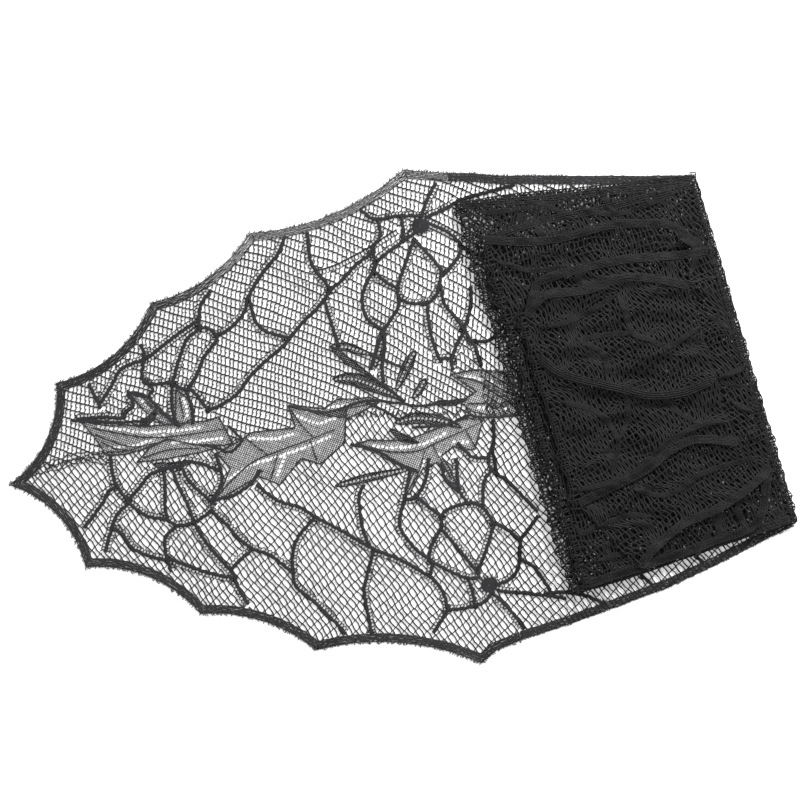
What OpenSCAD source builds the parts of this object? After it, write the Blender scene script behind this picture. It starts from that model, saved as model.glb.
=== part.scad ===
// Lace table runner: one pointed end laid open, the rest folded to and fro in a stack of plies.
// Points are given as [along, across] from the open tip; the part is then centred on its rest face.

/* [Runner] */
// Length of the cloth from tip to tip, laid flat
runner_l = 1829; // [1805:1:1850]
// Width across the widest scallop points
runner_w = 461; // [440:1:480]
// Width of the ribbed border band
border_w = 8; // [6:0.5:11]

/* [Knit] */
// Thickness of the ground net where it lies open
net_t = 0.6; // [0.4:0.1:1]
// Thickness of the ribbed border where it lies open
border_t = 1; // [0.8:0.1:1.6]
// Width of a web cord
cord_w = 4.5; // [3:0.5:6]
// Height of web cords, web centres, leaves and buds above the net
relief_t = 0.5; // [0.3:0.1:1]
// Radius of the solid web centres
hub_r = 9; // [6:0.5:12]

/* [Fold stack] */
// Height of one crinkled ply
ply_t = 2.2; // [1.6:0.1:3]
// Air between plies
ply_gap = 0.4; // [0.3:0.05:0.8]
// Turn of the fold lines from square to the runner
stack_turn = 7.5; // [6:0.5:9]
// Radius of the bent cloth along a fold
fold_r = 1.2; // [0.8:0.1:1.3]
// Distance from a fold's axis to the plies that meet there
fold_clear = 1.5; // [1.4:0.1:2]

/* [Hidden] */
$fn = 48;
net_black = "#202022";
rib_black = "#141416";
leaf_grey = "#3c3c40";

open_l = 445;                       // along: where the open end meets the bottom ply
stack_mid = [583, 6];               // centre of the stack
ply_pitch = ply_t + ply_gap;
half_w = runner_w / 2;

// Scallop points [along, share of the half width, depth of the arc that leads to it]
scallops = [[0, 0, 0], [58, 0.373, 14], [156, 0.63, 14], [256, 0.845, 11], [405, 1, 13]];

// Distance of each fold line from the middle of the stack: right folds are positive
fold_u = [106, -106, 102, -93, 99, -80];
// Lower and upper end of each fold line
fold_v = [[-168, 166], [-175, 203], [-168, 160], [-172, 165], [-116, 98], [-98, 86]];
// Cloth used up to the first fold, and from each fold to the next
first_l = stack_mid[0] + fold_u[0] + 1;
folded_l = abs_sum([for (i = [1 : 5]) fold_u[i] - fold_u[i - 1]]);
far_l = runner_l - first_l - folded_l;
// Lower and upper end of the far end's free edge
far_v = [-86, 72];
// Height of the open end's edges where it meets the bottom ply
join_top = 221;
join_low = -215;

// Shoulder points of plies 2 to 7 between their fold lines: upper edge, then lower edge
ply_top = [[0, 185], [0, 182], [10, 163], [75, 124], [-55, 115], [10, 80]];
ply_low = [[0, -172], [0, -172], [0, -170], [75, -160], [-40, -160], [10, -78]];

function abs_sum(list, i = 0) = i == len(list) ? 0 : abs(list[i]) + abs_sum(list, i + 1);
function across(p) = [p[0], p[1] * runner_w / 461];
// A stack position [u, v] in runner coordinates
function laid(p) = stack_mid + [p[0] * cos(stack_turn) - p[1] * sin(stack_turn),
                                p[0] * sin(stack_turn) + p[1] * cos(stack_turn)];
// Circular arc from a to b that is hollow by sag on its right-hand side
function hollow(a, b, sag) =
    let (c = norm(b - a), r = (c * c / 4 + sag * sag) / (2 * sag), half = asin(c / 2 / r),
         dir = (b - a) / c, side = [dir[1], -dir[0]], mid = (a + b) / 2 - side * (r - sag))
    [for (i = [0 : 9]) let (w = -half + 2 * half * i / 10) mid + side * r * cos(w) + dir * r * sin(w)];
function scallop_point(i) = [scallops[i][0], scallops[i][1] * half_w];
upper_scallops = [for (i = [1 : 4])
    each hollow(scallop_point(i - 1), scallop_point(i), scallops[i][2])];
function flipped(points) = [for (i = [len(points) - 1 : -1 : 0]) [points[i][0], -points[i][1]]];

open_end_outline = concat(
    upper_scallops, [scallop_point(4), across([open_l, join_top]), across([open_l, join_low]),
    [scallops[4][0], -half_w]], flipped(upper_scallops));
bottom_ply_outline = [across([open_l, join_top]), laid([fold_u[0] - fold_clear, fold_v[0][1]]),
    laid([fold_u[0] - fold_clear, fold_v[0][0] - 4]), across([open_l, join_low])];

// The part's length as it lies, which centres it
reach = laid([fold_u[0] + fold_r, fold_v[0][0]])[0];

// Web cords of the open end as routes of [along, across]
upper_web_routes = [
    [[192, 39], [204, 42], [221, 50], [235, 64], [252, 76], [271, 88], [289, 104], [308, 118], [322, 132]],
    [[322, 132], [332, 138], [342, 146], [352, 153], [365, 159]], [[88, 79], [94, 59]],
    [[97, 63], [109, 77], [120, 90], [144, 96], [166, 108], [188, 119], [196, 122]],
    [[196, 118], [198, 128], [202, 138], [211, 147]],
    [[196, 116], [204, 114], [210, 108], [210, 102], [196, 88], [187, 73], [177, 62]],
    [[210, 107], [218, 108], [230, 115], [240, 124], [246, 138], [262, 157], [278, 171], [286, 184]],
    [[246, 134], [247, 120], [249, 112], [256, 103], [275, 94]],
    [[141, 107], [142, 97], [137, 82], [139, 74], [146, 71], [163, 70]],
    [[195, 114], [184, 108], [177, 97], [169, 81], [164, 69]],
    [[163, 68], [175, 61], [181, 59], [189, 46], [192, 39]], [[175, 60], [178, 44], [177, 32]],
    [[163, 68], [160, 48], [161, 33]], [[123, 67], [138, 61], [149, 46], [163, 30]],
    [[138, 74], [145, 67], [141, 62]], [[122, 64], [125, 55], [116, 49]],
    [[73, 50], [96, 48], [112, 45], [118, 50]], [[93, 38], [98, 21]],
    [[308, 185], [307, 164], [310, 151], [318, 138], [321, 130]],
    [[314, 122], [316, 108], [318, 95], [320, 81]],
    [[311, 151], [328, 153], [353, 161], [372, 169], [388, 176]],
    [[361, 199], [372, 189], [394, 189], [412, 186]],
    [[374, 188], [374, 173], [365, 163], [366, 152], [363, 142]], [[396, 188], [396, 176], [394, 166]],
    [[406, 171], [388, 162], [371, 153], [363, 143]],
    [[363, 142], [354, 131], [348, 116], [351, 99], [363, 88]], [[364, 142], [371, 132], [382, 124]],
    [[404, 165], [394, 146], [385, 129], [382, 120], [381, 107], [372, 96], [363, 85], [354, 70], [347, 55]],
    [[363, 82], [362, 70], [357, 55], [356, 42]],
    [[383, 114], [391, 108], [408, 106], [418, 113], [423, 126], [428, 131]],
    [[405, 164], [416, 149], [425, 133]], [[420, 178], [435, 168], [445, 156], [443, 144], [428, 130]],
    [[415, 186], [421, 198], [431, 212]], [[420, 184], [438, 189], [456, 195], [500, 200]],
    [[407, 105], [406, 80], [409, 58], [411, 51]], [[411, 53], [420, 51], [421, 43]],
    [[422, 118], [423, 102], [430, 90], [437, 76]], [[437, 75], [427, 61], [421, 50]],
    [[437, 75], [444, 60], [447, 43]], [[437, 76], [446, 95], [449, 112]], [[440, 66], [456, 62], [470, 70]],
    [[446, 152], [456, 144], [470, 140]]
];
lower_web_routes = [
    [[97, 11], [96, 0], [98, -16], [106, -31]], [[98, -18], [90, -20], [83, -30], [64, -48]],
    [[106, -33], [121, -48], [138, -54], [147, -61], [162, -61], [181, -53]],
    [[106, -34], [94, -43], [86, -57], [79, -73]], [[88, -54], [96, -61], [104, -76], [124, -88], [134, -91]],
    [[137, -91], [154, -101], [174, -111], [192, -117]],
    [[106, -31], [120, -20], [130, -11], [145, -8], [160, -7]],
    [[143, -10], [142, -24], [139, -44], [140, -54]], [[151, -10], [154, -24], [160, -44], [163, -60]],
    [[160, -9], [165, -23], [176, -37], [184, -46]], [[165, -4], [178, -8], [193, -17]],
    [[193, -3], [195, -26], [184, -42]], [[181, -43], [202, -42], [220, -34], [230, -24]],
    [[163, -61], [171, -80], [183, -100], [191, -112], [194, -126], [200, -141]],
    [[181, -53], [193, -68], [199, -78], [212, -93], [227, -101], [238, -112], [246, -121]],
    [[212, -94], [198, -103], [191, -109]], [[147, -62], [136, -69], [133, -82], [135, -100]],
    [[227, -37], [243, -53], [263, -63], [274, -73], [293, -87], [309, -100], [323, -111], [345, -124], [363, -138], [372, -146], [380, -160], [382, -177]],
    [[274, -74], [258, -87], [249, -102], [246, -122], [247, -134], [260, -149], [276, -170], [284, -182]],
    [[322, -53], [317, -62], [316, -90], [319, -105]], [[323, -112], [312, -137], [308, -150], [309, -185]],
    [[367, -47], [358, -70], [351, -88], [352, -101], [363, -119], [374, -131], [371, -142]],
    [[386, -38], [381, -54], [370, -69], [359, -71]], [[370, -70], [380, -81], [389, -91]],
    [[389, -92], [387, -102], [376, -116], [372, -128]],
    [[389, -91], [397, -85], [416, -83], [428, -88], [436, -104]],
    [[397, -44], [399, -60], [409, -71], [415, -83]], [[411, -42], [409, -68]],
    [[388, -103], [399, -121], [414, -147]], [[436, -105], [427, -125], [416, -144]],
    [[374, -131], [388, -141], [404, -151], [414, -152]], [[405, -152], [407, -166], [407, -177]],
    [[382, -177], [400, -178], [416, -175], [424, -168]], [[382, -177], [374, -186], [367, -194]],
    [[432, -167], [450, -172], [470, -177], [489, -183]], [[426, -169], [439, -187], [448, -203]],
    [[431, -161], [443, -158], [452, -149], [456, -133]],
    [[436, -105], [446, -111], [457, -125], [455, -140], [466, -150], [477, -172]], [[458, -124], [476, -106]],
    [[442, -56], [433, -66], [429, -87]],
    [[450, -12], [448, -30], [441, -44], [442, -56], [456, -70], [476, -98]],
    [[416, -28], [426, -41], [439, -44]]
];
upper_hub = [412, 177];
lower_hub = [423, -160];
leaf_outlines = [
    [
        [[74, 48], [91, 46], [108, 40], [130, 34], [153, 32], [189, 30], [201, 32], [210, 6], [201, 5], [175, 10],
         [151, 19], [127, 13], [109, 11], [93, 13], [84, 33]],
        [[122, 68], [135, 60], [148, 44], [160, 31], [150, 33], [134, 48]],
        [[166, 64], [179, 48], [177, 34], [167, 30], [161, 35]],
        [[120, 2], [134, 14], [151, 19], [175, 10], [195, 4], [177, 2], [148, 1]],
    ],
    [
        [[194, -1], [219, 8], [229, 13], [269, 11], [266, 32], [298, 20], [319, 23], [312, -10], [287, -26],
         [270, -18], [247, -39], [229, -28], [180, -47], [197, -28], [204, -17]],
        [[266, 32], [276, 30], [298, 24], [312, 31], [322, 29], [341, 28], [350, 22], [332, 16], [319, 12], [298, 18]],
    ],
    [
        [[321, -13], [335, -11], [356, -15], [376, -15], [394, -11], [410, -8], [427, -5], [441, -9], [434, -25],
         [430, -35], [417, -33], [411, -29], [398, -36], [404, -48], [408, -65], [399, -58], [394, -41], [379, -45],
         [363, -67], [361, -61], [371, -46], [353, -35], [339, -24]],
    ],
    [
        [[418, 37], [440, 38], [467, 32], [472, 24], [476, 3], [478, -7], [456, -9], [433, 0], [423, 10], [439, 18],
         [425, 31]],
    ],
];
// Buds and pods of the spray between the leaves: spine and width
buds_list = [
    [[[313, 80], [330, 76], [349, 66]], 7], [[[313, 80], [328, 63], [345, 48]], 6],
    [[[310, 50], [331, 46], [352, 34], [371, 21]], 12], [[[362, 87], [358, 72], [350, 54]], 7.5],
    [[[390, 64], [382, 54], [374, 42], [366, 30]], 9], [[[395, 37], [389, 29], [380, 20]], 6.5],
    [[[360, 1], [381, 2], [404, -4], [421, -13]], 10], [[[355, -4], [366, -14], [380, -21]], 6],
    [[[297, -48], [331, -45], [370, -43]], 7], [[[400, 14], [414, 11], [430, 12]], 5],
    [[[128, 36], [137, 39], [146, 47]], 6], [[[134, -2], [150, -6], [170, -6]], 6],
];

ply_parts = ["net", "upper_border", "lower_border"];

// Moves runner coordinates so that the origin is below the middle of the part
module placed(z = 0) { translate([-reach / 2, 0, z]) children(); }

// A band that follows a route, with square ends and mitred corners
module stroke(route, width) {
    last = len(route) - 1;
    dirs = [for (i = [0 : last - 1]) (route[i + 1] - route[i]) / norm(route[i + 1] - route[i])];
    sides = [for (i = [0 : last])
        let (d = i == 0 ? dirs[0] : i == last ? dirs[last - 1] : dirs[i - 1] + dirs[i], n = [-d[1], d[0]] / norm(d))
        n / (i == 0 || i == last ? 1 : n * [-dirs[i][1], dirs[i][0]])];
    polygon(concat([for (i = [0 : last]) across(route[i] + sides[i] * width / 2)],
                   [for (i = [last : -1 : 0]) across(route[i] - sides[i] * width / 2)]));
}

module half_plane(side) { translate([-50, side > 0 ? 0 : -400]) square([900, 400]); }
module hub_2d(centre) { translate(across(centre)) circle(hub_r); }
module leaf_2d(i) { for (outline = leaf_outlines[i]) polygon([for (p = outline) across(p)]); }
module buds_2d() { for (bud = buds_list) stroke(bud[0], bud[1]); }
module open_inner_2d() {
    intersection() {
        offset(delta = -border_w) polygon(open_end_outline);
        translate([0, -300]) square([open_l - border_w, 600]);
    }
    // the net runs on past the border's inset where the open end meets the bottom ply
    translate([open_l - border_w - 4, join_low * runner_w / 461 + border_w + 2])
        square([border_w + 4, (join_top - join_low) * runner_w / 461 - 2 * border_w - 4]);
}
module relief(h) { placed(net_t) linear_extrude(h) children(); }

module open_end_net() {
    color(net_black) placed() linear_extrude(net_t) open_inner_2d();
}
module open_end_border(side) {
    color(rib_black) placed() linear_extrude(border_t) intersection() {
        difference() {
            polygon(open_end_outline);
            open_inner_2d();
        }
        half_plane(side);
    }
}
module web_cords(routes, hub) {
    color(rib_black) relief(relief_t) intersection() {
        difference() {
            union() { for (route = routes) stroke(route, cord_w); }
            hub_2d(hub);
            buds_2d();
            for (i = [0 : 3]) leaf_2d(i);
        }
        open_inner_2d();
    }
}
module web_centre(hub) {
    color(rib_black) relief(relief_t) hub_2d(hub);
}
module leaf(i) {
    color(leaf_grey) relief(relief_t) intersection() {
        difference() {
            leaf_2d(i);
            if (i > 0) leaf_2d(i - 1);
        }
        open_inner_2d();
    }
}
module buds() {
    color(rib_black) relief(relief_t) difference() {
        buds_2d();
        for (i = [0 : 3]) leaf_2d(i);
    }
}

// One crinkled ply between two fold lines, split into its net and its two borders
module ply_piece(outline, z, piece) {
    placed(z) linear_extrude(ply_t) if (piece == "net") {
        ply_core_2d(outline);
    } else intersection() {
        difference() {
            polygon(outline);
            ply_core_2d(outline);
        }
        half_plane(piece == "upper_border" ? 1 : -1);
    }
}
// The net between the borders: the outline narrowed across the runner but not along it
module ply_core_2d(outline) {
    intersection() {
        polygon(outline);
        translate([0, -border_w]) polygon(outline);
        translate([0, border_w]) polygon(outline);
    }
}
module bottom_ply(piece) {
    color(piece == "net" ? net_black : rib_black) ply_piece(bottom_ply_outline, 0, piece);
}

// Folds are numbered from the open end: fold n joins ply n to ply n + 1
function fold_x(n, gap) = n > 6 ? fold_u[5] + far_l : fold_u[n - 1] + (n % 2 == 1 ? -gap : gap);
function fold_ends(n) = n > 6 ? far_v : fold_v[n - 1];
function ply_outline(n) =
    let (a = n % 2 == 0 ? n : n - 1, b = n % 2 == 0 ? n - 1 : n)
    [for (p = [[fold_x(a, fold_clear), fold_ends(a)[1]], ply_top[n - 2], [fold_x(b, fold_clear), fold_ends(b)[1]],
               [fold_x(b, fold_clear), fold_ends(b)[0]], ply_low[n - 2], [fold_x(a, fold_clear), fold_ends(a)[0]]])
        laid(p)];
module ply(n, piece) {
    color(piece == "net" ? net_black : rib_black) ply_piece(ply_outline(n), (n - 1) * ply_pitch, piece);
}
// The bent strip of cloth along a fold: a round bead with a tongue that meets the ply below
module fold(n) {
    ends = fold_v[n - 1];
    toward = n % 2 == 1 ? -1 : 1;
    foot = laid([fold_u[n - 1], ends[1]]);
    color(net_black) placed(n * ply_pitch - ply_gap / 2)
        translate(foot) rotate([0, 0, stack_turn]) rotate([90, 0, 0]) linear_extrude(ends[1] - ends[0]) {
            circle(fold_r);
            translate([toward > 0 ? 0 : -fold_clear, -fold_r]) square([fold_clear, fold_r / 2]);
        }
}

open_end_net();
open_end_border(1);  // open_end_upper_border
open_end_border(-1);  // open_end_lower_border
web_cords(upper_web_routes, upper_hub);  // upper_web_cords
web_cords(lower_web_routes, lower_hub);  // lower_web_cords
web_centre(upper_hub);  // upper_web_centre
web_centre(lower_hub);  // lower_web_centre
for (i = [1 : 4]) leaf(i - 1);
buds();
bottom_ply("net");  // bottom_ply_net
bottom_ply("upper_border");  // bottom_ply_upper_border
bottom_ply("lower_border");  // bottom_ply_lower_border
for (n = [1 : 6]) fold(n);
for (n = [2 : 7], p = ply_parts) ply(n, p);
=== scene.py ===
"""Black lace table runner: its pointed end lies open, the rest is folded to and fro in a stack of crinkled plies.

Cloth points are [along, across] in millimetres from the open tip. Stack points are [u, v] from the stack's middle.
"""
import math

import bpy
import numpy as np
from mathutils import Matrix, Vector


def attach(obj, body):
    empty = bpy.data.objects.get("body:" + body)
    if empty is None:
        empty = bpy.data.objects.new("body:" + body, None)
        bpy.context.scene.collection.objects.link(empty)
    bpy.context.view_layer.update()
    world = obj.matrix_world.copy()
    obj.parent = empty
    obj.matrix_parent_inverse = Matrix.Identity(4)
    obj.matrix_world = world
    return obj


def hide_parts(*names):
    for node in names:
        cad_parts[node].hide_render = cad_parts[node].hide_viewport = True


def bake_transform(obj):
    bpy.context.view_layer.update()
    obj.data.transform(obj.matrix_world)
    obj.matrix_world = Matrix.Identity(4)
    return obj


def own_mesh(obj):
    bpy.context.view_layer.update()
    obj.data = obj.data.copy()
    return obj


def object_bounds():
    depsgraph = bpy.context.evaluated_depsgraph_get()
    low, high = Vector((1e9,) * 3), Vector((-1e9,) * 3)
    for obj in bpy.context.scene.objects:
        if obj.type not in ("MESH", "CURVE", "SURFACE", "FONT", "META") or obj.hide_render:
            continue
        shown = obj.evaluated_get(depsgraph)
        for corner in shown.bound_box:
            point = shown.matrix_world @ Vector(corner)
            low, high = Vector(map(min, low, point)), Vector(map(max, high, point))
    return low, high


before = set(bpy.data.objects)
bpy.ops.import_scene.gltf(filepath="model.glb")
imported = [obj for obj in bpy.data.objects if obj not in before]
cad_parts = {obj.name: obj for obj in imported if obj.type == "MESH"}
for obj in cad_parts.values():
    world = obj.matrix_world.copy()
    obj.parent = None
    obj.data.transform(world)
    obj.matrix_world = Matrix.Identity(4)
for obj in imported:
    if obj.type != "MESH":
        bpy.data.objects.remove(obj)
cad_box = [list(corner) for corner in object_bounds()]
rng = np.random.default_rng(11)

MM = 0.001
TIP_X = cad_box[0][0] / MM
HALF_W = 230.5
BORDER_W = 8.0
OPEN_L = 445.0
STACK_MID = np.array([583.0, 6.0])
TURN = math.radians(7.5)
COS, SIN = math.cos(TURN), math.sin(TURN)
PLY_PITCH = 2.6
PLY_BASE = 1.1
FOLD_R = 1.3
NET_Z = 0.45
CORD_Z = 0.8
SIDE_NAME = {1: "upper", -1: "lower"}

# Fold lines 1 to 6: distance from the stack's middle, lower end, upper end
FOLDS = [(106, -168, 166), (-106, -175, 203), (102, -168, 160), (-93, -172, 165), (99, -116, 98), (-80, -98, 86)]


# ---- camera, light, floor
def settings(node, **values):
    """Sets a node's sockets by name, with _ for a space."""
    for name, value in values.items():
        node.inputs[name.replace("_", " ")].default_value = value
    return node


def make_camera():
    data = bpy.data.cameras.new("camera")
    data.lens = 100
    data.sensor_width = 36
    camera = bpy.data.objects.new("camera", data)
    camera.location = (0.0129, 0.021, 2.05)
    camera.rotation_euler = (0, 0, math.radians(-9))
    bpy.context.scene.collection.objects.link(camera)
    bpy.context.scene.camera = camera


def make_light():
    world = bpy.data.worlds.new("studio")
    world.use_nodes = True
    settings(world.node_tree.nodes["Background"], Color=(1, 1, 1, 1), Strength=0.58)
    bpy.context.scene.world = world
    lamps = (("key", (1.15, 1.25, 1.3), 0.6, 62), ("fill", (-1.4, -0.6, 1.8), 2.0, 14))
    for name, place, size, power in lamps:
        data = bpy.data.lights.new(name, "AREA")
        data.shape = "DISK"
        data.size = size
        data.energy = power
        light = bpy.data.objects.new(name, data)
        light.location = place
        aim = -np.array(place)
        tilt = math.atan2(math.hypot(aim[0], aim[1]), -aim[2])
        light.rotation_euler = (tilt, 0, math.atan2(aim[1], aim[0]) - math.pi / 2)
        bpy.context.scene.collection.objects.link(light)
    view = bpy.context.scene.view_settings
    view.view_transform = "Standard"
    view.look = "None"


def make_floor():
    mesh = bpy.data.meshes.new("floor")
    r = 4.0  # metres from the middle to each edge
    mesh.from_pydata([(-r, -r, 0), (r, -r, 0), (r, r, 0), (-r, r, 0)], [], [(0, 1, 2, 3)])
    floor = bpy.data.objects.new("floor", mesh)
    floor.location.z = -0.0004
    bpy.context.scene.collection.objects.link(floor)
    paper = bpy.data.materials.new("floor_white")
    paper.use_nodes = True
    settings(paper.node_tree.nodes["Principled BSDF"], Base_Color=(0.93, 0.93, 0.93, 1), Roughness=0.9,
             Specular_IOR_Level=0.1, Emission_Color=(1, 1, 1, 1), Emission_Strength=0.22)
    mesh.materials.append(paper)


make_camera()
make_light()
make_floor()


# ---- flat geometry
def laid(points):
    """Stack points as cloth points."""
    u, v = np.asarray(points, float).reshape(-1, 2).T
    return np.column_stack([STACK_MID[0] + u * COS - v * SIN, STACK_MID[1] + u * SIN + v * COS])


def stack_uv(points):
    """Cloth points as stack points."""
    d = np.asarray(points, float)[:, :2] - STACK_MID
    return np.column_stack([d[:, 0] * COS + d[:, 1] * SIN, -d[:, 0] * SIN + d[:, 1] * COS])


def resample(points, step):
    p = np.asarray(points, float)
    d = np.r_[0, np.cumsum(np.hypot(*np.diff(p[:, :2], axis=0).T))]
    n = max(2, int(round(d[-1] / step)) + 1)
    at = np.linspace(0, d[-1], n)
    return np.column_stack([np.interp(at, d, p[:, k]) for k in range(p.shape[1])])


def curve(route, step=2.0):
    """A smooth path through the route's points."""
    p = np.asarray(route, float)
    if len(p) > 2:
        q = np.vstack([2 * p[0] - p[1], p, 2 * p[-1] - p[-2]])
        f = np.linspace(0, 1, 9)[:-1, None]
        out = [0.5 * (2 * b + (c - a) * f + (2 * a - 5 * b + 4 * c - d) * f ** 2 + (3 * b - a - 3 * c + d) * f ** 3)
               for a, b, c, d in zip(q, q[1:], q[2:], q[3:])]
        p = np.vstack(out + [p[-1:]])
    return resample(p, step)


def inside(points, outline):
    x, y = points[:, 0], points[:, 1]
    odd = np.zeros(len(points), bool)
    o = np.asarray(outline, float)
    for (x1, y1), (x2, y2) in zip(o, np.roll(o, -1, axis=0)):
        if y1 != y2:
            hit = (y1 > y) != (y2 > y)
            odd ^= hit & (x < (x2 - x1) * (y - y1) / (y2 - y1) + x1)
    return odd


def ringed(outline):
    """The outline with its first point again at the end."""
    return np.vstack([outline, outline[:1]])


def distance(points, route):
    """Distance of each point to a route."""
    ends = np.asarray(route, float)
    best = np.full(len(points), 1e9)
    p = points[:, :2]
    for a, b in zip(ends[:-1], ends[1:]):
        d = b - a
        f = np.clip(((p - a) @ d) / max(d @ d, 1e-9), 0, 1)
        best = np.minimum(best, np.hypot(*(p - a - f[:, None] * d).T))
    return best


def stretches(path, keep, least=2):
    """The parts of a path where keep holds."""
    edge = np.flatnonzero(np.diff(np.r_[0, keep.astype(int), 0]))
    return [path[a:b] for a, b in zip(edge[::2], edge[1::2]) if b - a >= least]


def offset_in(outline, depth, step=2.0):
    """The closed outline moved inwards by depth, without the loops at its points."""
    o = resample(ringed(outline), step)[:-1]
    t = np.roll(o, -1, axis=0) - np.roll(o, 1, axis=0)
    t /= np.hypot(*t.T)[:, None] + 1e-9
    after = np.roll(o, -1, axis=0)
    turn = np.sign((o[:, 0] * after[:, 1] - o[:, 1] * after[:, 0]).sum())
    side = np.column_stack([-t[:, 1], t[:, 0]]) * turn
    moved = o + side * depth
    return moved[distance(moved, ringed(outline)) > depth - 0.35]


def headings(path):
    """Unit vectors along a path."""
    t = np.gradient(path, axis=0)
    return t / (np.hypot(*t.T)[:, None] + 1e-9)


def sides_of(path):
    """Unit vectors to a path's left."""
    t = headings(path)
    return np.column_stack([-t[:, 1], t[:, 0]])


class Noise:
    """Smooth seeded noise over the plane."""

    def __init__(self, low, high, size, lean=None, spread=180, waves=12):
        k = 2 * math.pi / rng.uniform(low, high, waves)
        lean = rng.uniform(0, 360, waves) if lean is None else lean + rng.uniform(-spread, spread, waves)
        self.k = np.column_stack([np.cos(np.radians(lean)), np.sin(np.radians(lean))]) * k[:, None]
        self.phase = rng.uniform(0, 2 * math.pi, waves)
        self.size = size / math.sqrt(waves / 2)

    def __call__(self, p):
        return np.sin(np.asarray(p)[:, :2] @ self.k.T + self.phase).sum(axis=1) * self.size


# ---- yarn meshes
RING4 = np.array([[0.5, 0.32], [-0.5, 0.32], [-0.5, -0.32], [0.5, -0.32]]) * 1.12
SIX = np.radians([30, 90, 150, 210, 270, 330])
RING6 = np.column_stack([np.cos(SIX), np.sin(SIX)]) * 0.55


class Yarns:
    """Gathers yarn paths into one mesh of closed tubes."""

    def __init__(self):
        self.verts, self.quads, self.count = [], [], 0

    def add(self, path, width, height, ring=RING4):
        path = np.asarray(path, float)
        if len(path) < 2:
            return
        t = np.gradient(path, axis=0)
        t /= np.linalg.norm(t, axis=1)[:, None] + 1e-9
        side = np.column_stack([-t[:, 1], t[:, 0], np.zeros(len(t))])
        flat = np.linalg.norm(side, axis=1)
        side = np.where(flat[:, None] > 0.2, side / (flat[:, None] + 1e-9), side[np.argmax(flat)] / (flat.max() + 1e-9))
        up = np.cross(t, side)
        width = np.broadcast_to(np.asarray(width, float), len(path))
        height = np.broadcast_to(np.asarray(height, float), len(path))
        n = len(ring)
        v = (path[:, None] + side[:, None] * (width[:, None] * ring[:, 0])[..., None]
             + up[:, None] * (height[:, None] * ring[:, 1])[..., None])
        k = self.count + np.arange(len(path) - 1)[:, None] * n + np.arange(n)
        nxt = self.count + np.arange(len(path) - 1)[:, None] * n + (np.arange(n) + 1) % n
        self.quads.append(np.stack([k, nxt, nxt + n, k + n], axis=-1).reshape(-1, 4))
        last = self.count + (len(path) - 1) * n
        caps = [[3, 2, 1, 0]] if n == 4 else [[3, 2, 1, 0], [5, 4, 3, 0]]
        ends = [[self.count + i for i in c] for c in caps] + [[last + i for i in c[::-1]] for c in caps]
        self.quads.append(np.array(ends))
        self.verts.append(v.reshape(-1, 3))
        self.count += len(path) * n

    def mesh(self, name, material):
        v = np.vstack(self.verts) * MM
        v[:, 0] += TIP_X * MM
        q = np.vstack(self.quads)
        mesh = bpy.data.meshes.new(name)
        mesh.vertices.add(len(v))
        mesh.vertices.foreach_set("co", v.astype(np.float32).ravel())
        mesh.loops.add(len(q) * 4)
        mesh.loops.foreach_set("vertex_index", q.astype(np.int32).ravel())
        mesh.polygons.add(len(q))
        mesh.polygons.foreach_set("loop_start", np.arange(len(q), dtype=np.int32) * 4)
        mesh.polygons.foreach_set("use_smooth", np.ones(len(q), bool))
        mesh.update(calc_edges=True)
        mesh.materials.append(material)
        piece = bpy.data.objects.new(name, mesh)
        bpy.context.scene.collection.objects.link(piece)
        return piece


def placed(path, z, lift=0.0):
    """The path at height z, which may be a function of the path, plus lift."""
    h = (z(path) if callable(z) else z) + lift
    return np.column_stack([path[:, :2], np.broadcast_to(h, len(path))])


# ---- materials
def yarn_material(name, colour, rough, sheen, grain):
    """Matt black yarn: darker and lighter filaments along a fine noise, with a soft sheen."""
    m = bpy.data.materials.new(name)
    m.use_nodes = True
    nodes, links = m.node_tree.nodes, m.node_tree.links
    shader = settings(nodes["Principled BSDF"], Sheen_Weight=sheen, Sheen_Roughness=0.45, Specular_IOR_Level=0.25)
    place = nodes.new("ShaderNodeTexCoord")
    fine = settings(nodes.new("ShaderNodeTexNoise"), Scale=grain, Detail=3)
    broad = settings(nodes.new("ShaderNodeTexNoise"), Scale=34)
    links.new(place.outputs["Object"], fine.inputs["Vector"])
    links.new(place.outputs["Object"], broad.inputs["Vector"])
    mix = nodes.new("ShaderNodeMix")
    mix.data_type = "FLOAT"
    mix.inputs[0].default_value = 0.35
    links.new(fine.outputs["Fac"], mix.inputs[2])
    links.new(broad.outputs["Fac"], mix.inputs[3])
    ramp = nodes.new("ShaderNodeValToRGB")
    for end, position, gain in zip(ramp.color_ramp.elements, (0.32, 0.72), (0.55, 1.6)):
        end.position = position
        end.color = [c * gain for c in colour] + [1]
    links.new(mix.outputs[0], ramp.inputs["Fac"])
    links.new(ramp.outputs["Color"], shader.inputs["Base Color"])
    level = settings(nodes.new("ShaderNodeMapRange"), To_Min=rough - 0.08, To_Max=rough + 0.1)
    links.new(fine.outputs["Fac"], level.inputs["Value"])
    links.new(level.outputs["Result"], shader.inputs["Roughness"])
    bump = settings(nodes.new("ShaderNodeBump"), Strength=0.35, Distance=0.0003)
    links.new(fine.outputs["Fac"], bump.inputs["Height"])
    links.new(bump.outputs["Normal"], shader.inputs["Normal"])
    return m


NET = yarn_material("ground_net_yarn", (0.018, 0.018, 0.0195), 0.62, 0.14, 1900)
# The next material is the black net yarn painted darker: painted shade on the stack's plies, folds and bottom ply
FOLDED_PAINTED_SHADE = yarn_material("folded_net_yarn_painted_shade", (0.0058, 0.0058, 0.0063), 0.64, 0.06, 1700)
RIB = yarn_material("ribbed_border_yarn", (0.0185, 0.0185, 0.02), 0.66, 0.14, 1500)
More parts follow.
